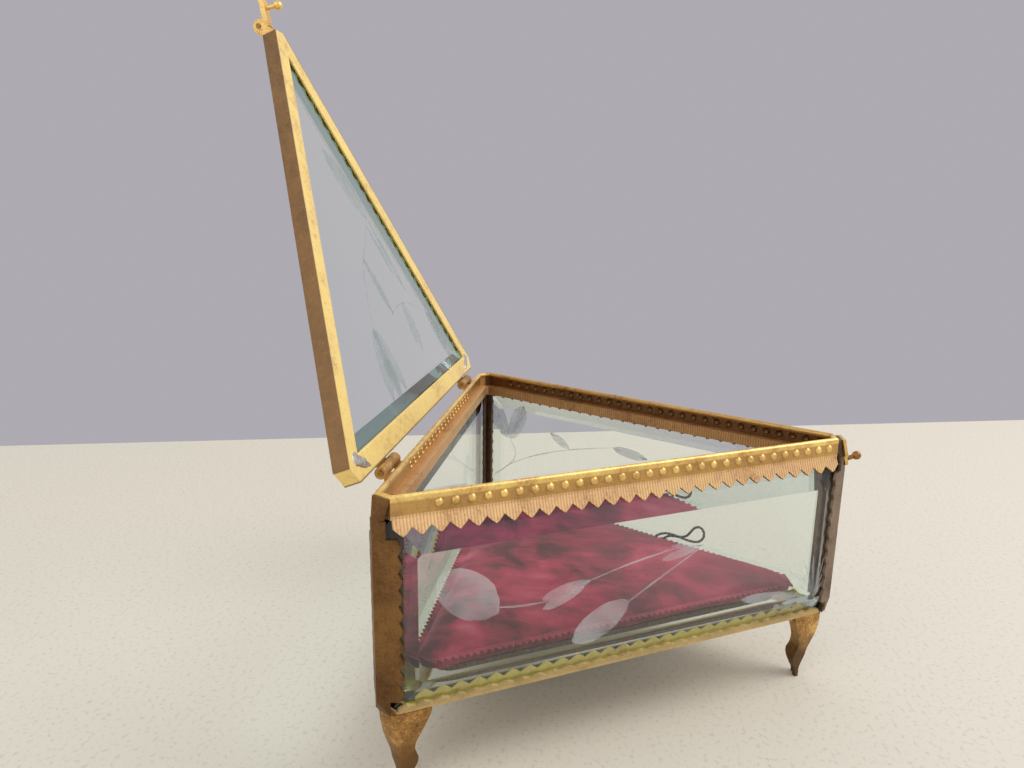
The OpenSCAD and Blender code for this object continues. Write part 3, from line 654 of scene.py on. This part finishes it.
class CASKET_OT_metal(bpy.types.Operator):
    """Gives every metal part its worn gilding or brown film"""

    bl_idname = "casket.metal"
    bl_label = "Metal Finishes"

    def execute(self, context):
        m = context.scene.casket_metals
        bright, gilt, brass, rose = tuple(m.bright), tuple(m.gilt), tuple(m.brass), tuple(m.rose)
        lemon, tarnish, grime_and_shade = tuple(m.lemon), tuple(m.tarnish), tuple(m.grime_and_shade)
        silver = shaded(tuple(m.solder), tarnish, 0.4)
        for number, side in enumerate(("back", "left", "right")):
            angle = math.radians(-120 * number)
            # Painted shade: on the right side, seen from inside, the rim and gallery are drawn darker and
            # browner
            right_side_painted_shade = 0.65 if side == "right" else 0.0
            wear_it(
                worn_metal(
                    f"rim_{side}_gilding", shaded(bright, brass, right_side_painted_shade), shaded(gilt, brass, 0.2 + right_side_painted_shade),
                    shaded(brass, tarnish, 0.2 + right_side_painted_shade), shine=0.24, wear=0.4, metallic=0.75,
                    relief_of=partial(proud_of_rim, side=number),
                    ground_and_shade=shaded(brass, tarnish, 1.3 * right_side_painted_shade) if right_side_painted_shade else shaded(brass, gilt, 0.4),
                ),
                f"{side}_rim",
            )
            wear_it(
                worn_metal(
                    f"gallery_{side}_gilding", shaded(shaded(rose, bright, 0.35), brass, right_side_painted_shade),
                    shaded(rose, brass, right_side_painted_shade), shaded(shaded(brass, rose, 0.35), tarnish, right_side_painted_shade),
                    shine=0.34, ribs=0.0006, turn=angle,
                ),
                f"{side}_top_rail",
            )
            wear_it(
                worn_metal(
                    f"bottom_{side}_gilding", lemon, shaded(lemon, gilt, 0.25),
                    shaded(gilt, brass, 0.3), shine=0.28, wear=0.5, metallic=0.45,
                    relief_of=partial(inside_the_wall, side=number),
                    ground_and_shade=shaded(shaded(lemon, brass, 0.5), silver, 0.35),
                ),
                f"{side}_bottom_rail",
            )
            wear_it(
                worn_metal(
                    f"lid_{side}_brass", bright, shaded(bright, gilt, 0.3), shaded(gilt, brass, 0.4),
                    shine=0.28, wear=0.5, metallic=0.4,
                    relief_of=partial(lid_flange, side=number), ground_and_shade=shaded(brass, tarnish, 0.6),
                ),
                f"lid_{side}_rail",
            )
        # Painted light: the right and front corners are drawn darker as painted shade, and their posts
        # greyer towards the tin colour as a painted reflection of the glass
        for corner, dark in (("left", 0.0), ("right", 0.3), ("front", 0.45)):
            wear_it(
                worn_metal(
                    f"post_{corner}_brown", shaded(shaded(brass, tarnish, 0.6), silver, dark),
                    shaded(shaded(tarnish, brass, 0.14), silver, dark * 0.6),
                    shaded(tarnish, grime_and_shade, 0.2 + dark), shine=0.4, wear=0.6,
                ),
                f"{corner}_post",
            )
            wear_it(
                worn_metal(
                    f"foot_{corner}_gilding", gilt, shaded(brass, tarnish, 0.15),
                    shaded(tarnish, grime_and_shade, 0.2 + dark / 2), shine=0.32, wear=0.8,
                    relief_of=foot_above_painted_shade, ground_and_shade=shaded(shaded(brass, tarnish, 0.6), grime_and_shade, dark),
                ),
                f"{corner}_foot",
            )
        wear_it(
            worn_metal("hinge_plate_brass", gilt, brass, shaded(brass, tarnish, 0.6), shine=0.34),
            "left_hinge_body_leaf", "right_hinge_body_leaf", "left_hinge_lid_leaf", "right_hinge_lid_leaf",
        )
        wear_it(
            worn_metal(
                "pin_brass_wire", brass, shaded(brass, tarnish, 0.3), shaded(brass, tarnish, 0.7),
                shine=0.34,
            ),
            "left_hinge_pin", "right_hinge_pin", "hasp_pin",
        )
        wear_it(
            worn_metal(
                "clasp_gilding", shaded(gilt, bright, 0.5), gilt, shaded(brass, tarnish, 0.4), shine=0.22
            ),
            "hasp", "hasp_bead", "hasp_ears", "catch_plate",
        )
        wear_it(
            worn_metal(
                "catch_brown", brass, shaded(tarnish, brass, 0.3), shaded(tarnish, grime_and_shade, 0.5), shine=0.26
            ),
            "catch_bead",
        )
        return {"FINISHED"}


class CASKET_OT_glass(bpy.types.Operator):
    """Makes the five panes old, clear and sea-green at their edges"""

    bl_idname = "casket.glass"
    bl_label = "Glass"

    def execute(self, context):
        glass = context.scene.casket_glass
        for number, side in enumerate(("back", "left", "right")):
            wear_it(
                clear_glass(f"{side}_clear_glass", outward(number)[0], glass.bevel, glass.upper_bevel),
                f"{side}_glass",
            )
        wear_it(clear_glass("base_clear_glass", (0, 0, 1), glass.bevel), "base_glass")
        lid_face = on_lid(0).to_3x3() @ Vector((0, 0, 1))
        wear_it(clear_glass("lid_clear_glass", lid_face, glass.lid_bevel), "lid_glass")
        return {"FINISHED"}


class CASKET_OT_foliage(bpy.types.Operator):
    """Cuts sprays of flowers and leaves into the walls and the lid"""

    bl_idname = "casket.foliage"
    bl_label = "Cut Foliage"

    def execute(self, context):
        # The drawings run along a side, x towards its left end as seen from outside, y up
        gap = context.scene.casket_glass.cut_depth
        front = [
            leaf((41.4, 43.6), (30.2, 34.4), 8.6, belly=0.5, tip=0.55),
            stem([(30.4, 35.6), (26.0, 35.0), (20.6, 34.8)], 0.45),
            leaf((21.6, 35.4), (11.6, 37.4), 2.6, belly=0.42),
            leaf((21.4, 33.4), (12.8, 36.5), 2.3, belly=0.42),
            stem([(12.6, 37.2), (3.8, 39.2), (-5.9, 40.7), (-9.4, 41.2)], 0.42),
            leaf((-4.2, 38.8), (-14.0, 40.6), 1.9, belly=0.45),
            leaf((-6.0, 41.4), (-13.2, 40.4), 1.3, belly=0.5),
            leaf((15.0, 25.2), (2.8, 31.5), 6.2, belly=0.46, tip=0.3),
            stem([(3.2, 31.2), (-3.2, 34.7), (-13.0, 39.8)], 0.5),
            stem([(-13.4, 39.6), (-22.1, 39.6), (-31.1, 35.9), (-40.4, 27.6)], 0.4),
            leaf((-24.4, 26.2), (-39.9, 24.3), 2.6, belly=0.5),
        ]
        # A burst of short cuts in the front corner
        middle = Vector((-44.3, 23.2))
        rays = ((98, 13.5), (112, 9), (128, 7), (150, 5), (84, 10), (70, 8.5), (56, 6), (40, 5))
        for angle, reach in rays:
            ray = Vector((math.cos(math.radians(angle)), math.sin(math.radians(angle))))
            front.append(leaf(middle + 0.8 * ray, middle + reach * ray, 0.7, tip=0.05))
        cut_into("cut_spray_left", front, on_panel(LEFT, PANEL_FACE + gap), 0.2)
        beside = [
            leaf((-42.4, 39.4), (-48.4, 50.4), 5.0, belly=0.6, tip=0.6),
            leaf((-41.6, 39.2), (-36.2, 50.2), 5.2, belly=0.6, tip=0.6),
            stem([(-47.6, 26.4), (-43.0, 30.0), (-39.4, 34.6), (-41.4, 39.6)], 0.4),
            stem([(-46.6, 27.4), (-39.0, 32.6), (-24.6, 38.7), (-5.2, 43.9)], 0.4),
            leaf((-6.4, 43.4), (4.0, 42.4), 2.6),
            leaf((-20.4, 40.4), (-27.0, 43.8), 2.4),
        ]
        cut_into("cut_spray_right", beside, on_panel(RIGHT, PANEL_FACE + gap), 0.28)
        behind = [
            leaf((20.0, 34.0), (28.4, 40.0), 7.0, tip=0.5),
            stem([(20.4, 34.4), (8.0, 31.6), (-6.0, 34.0), (-18.0, 40.0)], 0.45),
            leaf((2.0, 33.0), (-6.0, 42.0), 3.6),
            leaf((-8.0, 34.6), (-20.0, 30.4), 3.8),
            leaf((-18.0, 40.0), (-27.0, 44.0), 3.0),
        ]
        cut_into("cut_spray_back", behind, on_panel(BACK, PANEL_FACE + gap), 0.36)
        above = [
            leaf((3.0, -33.0), (14.6, -16.4), 6.0, belly=0.5, tip=0.3),
            leaf((15.0, -16.0), (22.0, 3.0), 2.6, belly=0.5),
            leaf((12.0, -14.6), (17.6, -2.0), 1.8, belly=0.5),
            leaf((1.0, -7.0), (6.4, 7.2), 3.2, belly=0.45),
            leaf((16.0, 5.0), (17.4, 18.4), 5.4, belly=0.6, tip=0.4),
            leaf((32.0, 9.6), (39.6, 26.0), 4.6, belly=0.5),
            leaf((-10.4, 8.0), (-14.6, 24.0), 4.8, belly=0.55, tip=0.4),
            leaf((-9.8, 8.0), (-9.6, 26.0), 4.8, belly=0.55, tip=0.4),
            leaf((-9.2, 8.4), (-4.6, 23.6), 4.4, belly=0.55, tip=0.4),
            stem([(-10.0, 8.4), (-2.0, -4.0), (8.0, -12.0), (14.4, -17.0)], 0.4),
            stem([(6.0, 6.6), (16.0, 5.4), (32.4, 10.0)], 0.35),
        ]
        cut_into("cut_spray_lid", above, on_lid(LID_FACE_Z + gap), 0.3, "lid")
        return {"FINISHED"}


class CASKET_OT_pad(bpy.types.Operator):
    """Stuffs the velvet cushion and finishes the card under it"""

    bl_idname = "casket.pad"
    bl_label = "Velvet Pad"

    def execute(self, context):
        wear_it(plain_card("pad_card"), "pad_board")
        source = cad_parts["pad_cushion"]
        cushion = bpy.data.objects.new("velvet_cushion", source.data.copy())
        context.scene.collection.objects.link(cushion)
        pick(cushion)
        for vertex in cushion.data.vertices:
            vertex.co += into_corner(vertex.co)
        bpy.ops.object.mode_set(mode="EDIT")
        bpy.ops.mesh.select_all(action="SELECT")
        bpy.ops.mesh.remove_doubles(threshold=1e-5)
        bpy.ops.mesh.normals_make_consistent(inside=False)
        bpy.ops.object.mode_set(mode="OBJECT")
        skin = cushion.modifiers.new("Skin", "REMESH")
        skin.mode = "VOXEL"
        skin.voxel_size = 1.1 * MM
        skin.use_smooth_shade = True
        bpy.ops.object.modifier_apply(modifier=skin.name)
        swollen(cushion, context.scene.casket_pad.swell)
        creases = bpy.data.textures.new("velvet_creases", "CLOUDS")
        creases.noise_scale = 9 * MM
        creases.noise_depth = 3
        crush = cushion.modifiers.new("Creases", "DISPLACE")
        crush.texture = creases
        crush.texture_coords = "LOCAL"
        crush.strength = 0.9 * MM
        crush.mid_level = 0.55
        bpy.ops.object.modifier_apply(modifier=crush.name)
        finer = cushion.modifiers.new("Fine", "SUBSURF")
        finer.levels = finer.render_levels = 1
        bpy.ops.object.modifier_apply(modifier=finer.name)
        bpy.ops.object.shade_smooth()
        dressed(cushion, velvet_cloth("crimson_velvet"))
        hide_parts("pad_cushion")
        self.pinked_edge(cushion.data.materials[0])
        return {"FINISHED"}

    def pinked_edge(self, velvet):
        """The saw-toothed edge of the cloth, a flat ring that stands out round the cushion."""
        pitch, depth, width, thickness = 1.4 * MM, 0.95 * MM, 2.4 * MM, 0.4 * MM
        side = 2 * math.sqrt(3) * PAD_EDGE - 6 * MM
        teeth = round(side / pitch)
        count = 6 * teeth
        deselect()
        bpy.ops.mesh.primitive_circle_add(vertices=count, radius=1, fill_type="NOTHING")
        edge = started("pinked_velvet_edge")
        bpy.ops.object.mode_set(mode="EDIT")
        bpy.ops.mesh.extrude_region_move(TRANSFORM_OT_translate={"value": (0, 0, 1)})
        bpy.ops.object.mode_set(mode="OBJECT")
        for vertex in edge.data.vertices:
            number, inner = vertex.index % count, vertex.index >= count
            corner, step = divmod(number, 2 * teeth)
            turn = Matrix.Rotation(math.radians(120 * corner), 3, "Z")
            out = PAD_EDGE - width if inner else PAD_EDGE + 0.35 * MM + (depth if step % 2 else 0)
            place = turn @ Vector((side / 2 - side * step / (2 * teeth - 1), out, 0))
            vertex.co = place + Vector((0, MIDDLE_Y, CUSHION_Z + 2.5 * MM))
        pick(edge)
        cloth = edge.modifiers.new("Cloth", "SOLIDIFY")
        cloth.thickness = thickness
        cloth.offset = 0
        bpy.ops.object.modifier_apply(modifier=cloth.name)
        bpy.ops.object.mode_set(mode="EDIT")
        bpy.ops.mesh.select_all(action="SELECT")
        bpy.ops.mesh.normals_make_consistent(inside=False)
        bpy.ops.object.mode_set(mode="OBJECT")
        dressed(edge, velvet)


def into_corner(place):
    """Move that pulls the pad's rounded corners out into points."""
    start, tip, pull = 42.4 * MM, 46.7 * MM, 3.6 * MM
    for angle in (30, 150, 270):
        axis = Vector((math.cos(math.radians(angle)), math.sin(math.radians(angle)), 0))
        along = (place - Vector((0, MIDDLE_Y, 0))).dot(axis)
        if along > start:
            return axis * pull * min(1, (along - start) / (tip - start)) ** 2
    return Vector()


def swollen(cushion, reach):
    """Blows the cushion up a little, held at its foot, and keeps each point within reach."""
    before = [v.co.copy() for v in cushion.data.vertices]
    foot = min(p.z for p in before) + 0.9 * MM
    held = cushion.vertex_groups.new(name="foot")
    held.add([i for i, p in enumerate(before) if p.z < foot], 1.0, "REPLACE")
    cloth = cushion.modifiers.new("Stuffing", "CLOTH")
    cloth.settings.use_pressure = True
    cloth.settings.uniform_pressure_force = 4
    cloth.settings.vertex_group_mass = "foot"
    cloth.settings.effector_weights.gravity = 0
    cloth.settings.quality = 5
    cloth.point_cache.frame_start, cloth.point_cache.frame_end = 1, 20
    scene = bpy.context.scene
    for number in range(1, 21):
        scene.frame_set(number)
    pick(cushion)
    bpy.ops.object.modifier_apply(modifier=cloth.name)
    scene.frame_set(1)
    for vertex, start in zip(cushion.data.vertices, before):
        move = vertex.co - start
        if move.length > reach:
            vertex.co = start + move.normalized() * reach
    cushion.vertex_groups.clear()


class CASKET_OT_pull_loop(bpy.types.Operator):
    """Sews the loop of dark thread into the edge of the pad"""

    bl_idname = "casket.pull_loop"
    bl_label = "Pull Loop"

    # x along the right edge towards the front, y in over the pad, z above the cushion's base
    ROUTE = (
        (8.1, 2.9, 2.6), (9.2, 2.4, 3.4), (10.6, 1.7, 4.6), (12.2, 1.4, 5.3), (14, 1.4, 5.5),
        (15.8, 1.4, 5.4), (17.6, 1.4, 5.2), (19.4, 1.4, 5.2), (21, 1.3, 5.6), (22, 1.1, 6.8),
        (21.9, 0.8, 8.2),
        (20.8, 0.6, 9), (19.4, 0.4, 8.4), (18.4, 0.3, 7), (17.4, 0.2, 5.7), (16, 0, 4.9),
        (14.4, 0, 4.6), (12.8, 0.4, 4.4), (11.4, 1.2, 3.4),
        (10.3, 1.9, 2.5),
    )

    def execute(self, context):
        turn = Matrix.Translation((0, MIDDLE_Y, 0)) @ Matrix.Rotation(math.radians(240), 4, "Z")
        knots = [
            turn @ Vector((x * MM, PAD_EDGE - y * MM, CUSHION_Z + z * MM)) for x, y, z in self.ROUTE
        ]
        line = smooth_line(knots, 3)
        deselect()
        bpy.ops.curve.primitive_nurbs_path_add()
        loop = started("pull_loop_thread")
        loop.data.splines.clear()
        spline = loop.data.splines.new("POLY")
        spline.points.add(len(line) - 1)
        for point, where in zip(spline.points, line):
            point.co = (*where, 1)
        loop.data.dimensions = "3D"
        loop.data.bevel_depth = context.scene.casket_pad.thread_width / 2
        loop.data.bevel_resolution = 3
        loop.data.use_fill_caps = True
        dressed(loop, twisted_thread("twisted_dark_thread"))
        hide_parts("pull_loop")
        return {"FINISHED"}


def smooth_line(knots, steps):
    """Catmull-Rom line through the knots, with the given number of steps between two of them."""
    line = []
    for i in range(len(knots) - 1):
        a, b, c, d = (knots[max(0, min(len(knots) - 1, i + k))] for k in (-1, 0, 1, 2))
        for j in range(steps):
            t = j / steps
            square, cube = 2 * a - 5 * b + 4 * c - d, 3 * b - a - 3 * c + d
            line.append(0.5 * (2 * b + (c - a) * t + square * t**2 + cube * t**3))
    return [*line, knots[-1]]


class CASKET_OT_solder(bpy.types.Operator):
    """Runs soft solder into the two hinge corners of the lid"""

    bl_idname = "casket.solder"
    bl_label = "Solder"

    def execute(self, context):
        tin = soft_solder("casket_solder")
        for side in (-1, 1):
            deselect()
            bpy.ops.mesh.primitive_uv_sphere_add(segments=28, ring_count=16, radius=1)
            drop = started("solder_left" if side < 0 else "solder_right")
            bpy.ops.object.mode_set(mode="EDIT")
            bpy.ops.transform.resize(value=(3.4 * MM, 1.1 * MM, 0.38 * MM))
            choose(drop, lambda p: p.x * side > 1.6 * MM)
            bpy.ops.transform.resize(value=(1, 1.5, 0.8))
            choose(drop, lambda p: p.x * side < -1.4 * MM)
            bpy.ops.transform.resize(value=(1, 0.55, 0.7))
            bpy.ops.object.mode_set(mode="OBJECT")
            corner = Matrix.Translation((side * 45.5 * MM, 27.9 * MM, 0)) @ Matrix.Rotation(
                math.radians(-30 * side), 4, "Z"
            )
            drop.matrix_world = on_lid(58.72 * MM) @ corner
            settled(drop)
            lumps = bpy.data.textures.new("solder_lumps", "CLOUDS")
            lumps.noise_scale = 1.6 * MM
            run = drop.modifiers.new("Lumps", "DISPLACE")
            run.texture = lumps
            run.texture_coords = "LOCAL"
            run.strength = 0.5 * MM
            run.mid_level = 0.5
            bpy.ops.object.modifier_apply(modifier=run.name)
            bpy.ops.object.shade_smooth()
            dressed(drop, tin, "lid")
        return {"FINISHED"}


class CASKET_OT_studio(bpy.types.Operator):
    """Sets up the camera, the pale table and soft light"""

    bl_idname = "casket.studio"
    bl_label = "Studio"

    def execute(self, context):
        scene = context.scene
        studio = scene.casket_studio
        deselect()
        bpy.ops.object.camera_add(
            location=(-162.88 * MM, -11.76 * MM, 104.48 * MM),
            rotation=[math.radians(a) for a in (77.126, -0.742, -82.158)],
        )
        camera = started("casket_camera")
        camera.data.lens = 26.0
        camera.data.sensor_width = 36
        camera.data.clip_start = 0.005
        scene.camera = camera

        deselect()
        bpy.ops.mesh.primitive_plane_add(size=1, location=(0, 0, 0))
        table = started("table")
        bpy.ops.object.mode_set(mode="EDIT")
        bpy.ops.transform.resize(value=(2.4, 1.6, 1))
        bpy.ops.transform.translate(value=(0, -0.8, 0))
        bpy.ops.object.mode_set(mode="OBJECT")
        # The far edge of the table runs behind the casket, a little askew
        edge = Vector((121.6, 258.9, 0)) * MM - Vector((256.9, -234.1, 0)) * MM
        table.matrix_world = Matrix.Translation((184.6 * MM, 29.4 * MM, 0)) @ Matrix.Rotation(
            math.atan2(-edge.y, -edge.x), 4, "Z"
        )
        settled(table)
        top = Finish("pale_table")
        speck = top.noise(900, 2, 0.5)
        pale = tuple(studio.table)
        top.set(
            Base_Color=top.ramp(speck, (0.3, shaded(pale, (0.2, 0.17, 0.14), 0.2)), (0.45, pale)),
            Roughness=0.55,
            Specular_IOR_Level=0.3,
        )
        table.data.materials.append(top.material)

        world = bpy.data.worlds.new("soft_studio")
        scene.world = world
        world.use_nodes = True
        tree = world.node_tree
        tree.nodes.clear()
        light = tree.nodes.new("ShaderNodeBackground")
        light.inputs["Color"].default_value = (1, 0.985, 0.96, 1)
        light.inputs["Strength"].default_value = studio.sky
        seen = tree.nodes.new("ShaderNodeBackground")
        seen.inputs["Color"].default_value = (*studio.backdrop, 1)
        path = tree.nodes.new("ShaderNodeLightPath")
        either = tree.nodes.new("ShaderNodeMath")
        either.operation = "MAXIMUM"
        tree.links.new(path.outputs["Is Camera Ray"], either.inputs[0])
        tree.links.new(path.outputs["Is Transmission Ray"], either.inputs[1])
        mix = tree.nodes.new("ShaderNodeMixShader")
        tree.links.new(either.outputs[0], mix.inputs[0])
        tree.links.new(light.outputs[0], mix.inputs[1])
        tree.links.new(seen.outputs[0], mix.inputs[2])
        out = tree.nodes.new("ShaderNodeOutputWorld")
        tree.links.new(mix.outputs[0], out.inputs[0])

        for name, place, size, power, tone in (
            ("key_light", (0.05, -0.5, 0.62), 0.45, studio.key, (1, 0.97, 0.92)),
            ("fill_light", (-0.55, 0.35, 0.5), 0.5, studio.fill, (0.94, 0.97, 1)),
        ):
            deselect()
            bpy.ops.object.light_add(type="AREA", location=place)
            lamp = started(name)
            lamp.data.shape = "DISK"
            lamp.data.size = size
            lamp.data.energy = power
            lamp.data.color = tone
            aim = Vector((0, 0, 0.05)) - Vector(place)
            lamp.rotation_euler = aim.to_track_quat("-Z", "Y").to_euler()
        scene.view_settings.view_transform = "Standard"
        return {"FINISHED"}


OPERATORS = (
    CASKET_OT_studio,
    CASKET_OT_pull_loop,
    CASKET_OT_metal,
    CASKET_OT_glass,
    CASKET_OT_foliage,
    CASKET_OT_pad,
    CASKET_OT_solder,
)


class CASKET_PT_panel(bpy.types.Panel):
    bl_label = "Casket"
    bl_space_type = "VIEW_3D"
    bl_region_type = "UI"
    bl_category = "Casket"

    def draw(self, context):
        for key, group in SETTINGS.items():
            box = self.layout.box()
            for name in group.__annotations__:
                box.prop(getattr(context.scene, key), name)
        for operator in OPERATORS:
            self.layout.operator(operator.bl_idname)


def register():
    for key, group in SETTINGS.items():
        bpy.utils.register_class(group)
        setattr(bpy.types.Scene, key, bpy.props.PointerProperty(type=group))
    for made in (*OPERATORS, CASKET_PT_panel):
        bpy.utils.register_class(made)


def unregister():
    for made in reversed((*OPERATORS, CASKET_PT_panel)):
        bpy.utils.unregister_class(made)
    for key, group in reversed(list(SETTINGS.items())):
        delattr(bpy.types.Scene, key)
        bpy.utils.unregister_class(group)


def main():
    register()
    bpy.ops.casket.studio()
    bpy.ops.casket.pull_loop()
    bpy.ops.casket.metal()
    bpy.ops.casket.glass()
    bpy.ops.casket.foliage()
    bpy.ops.casket.pad()
    bpy.ops.casket.solder()
    deselect()


if __name__ == "__main__":
    main()
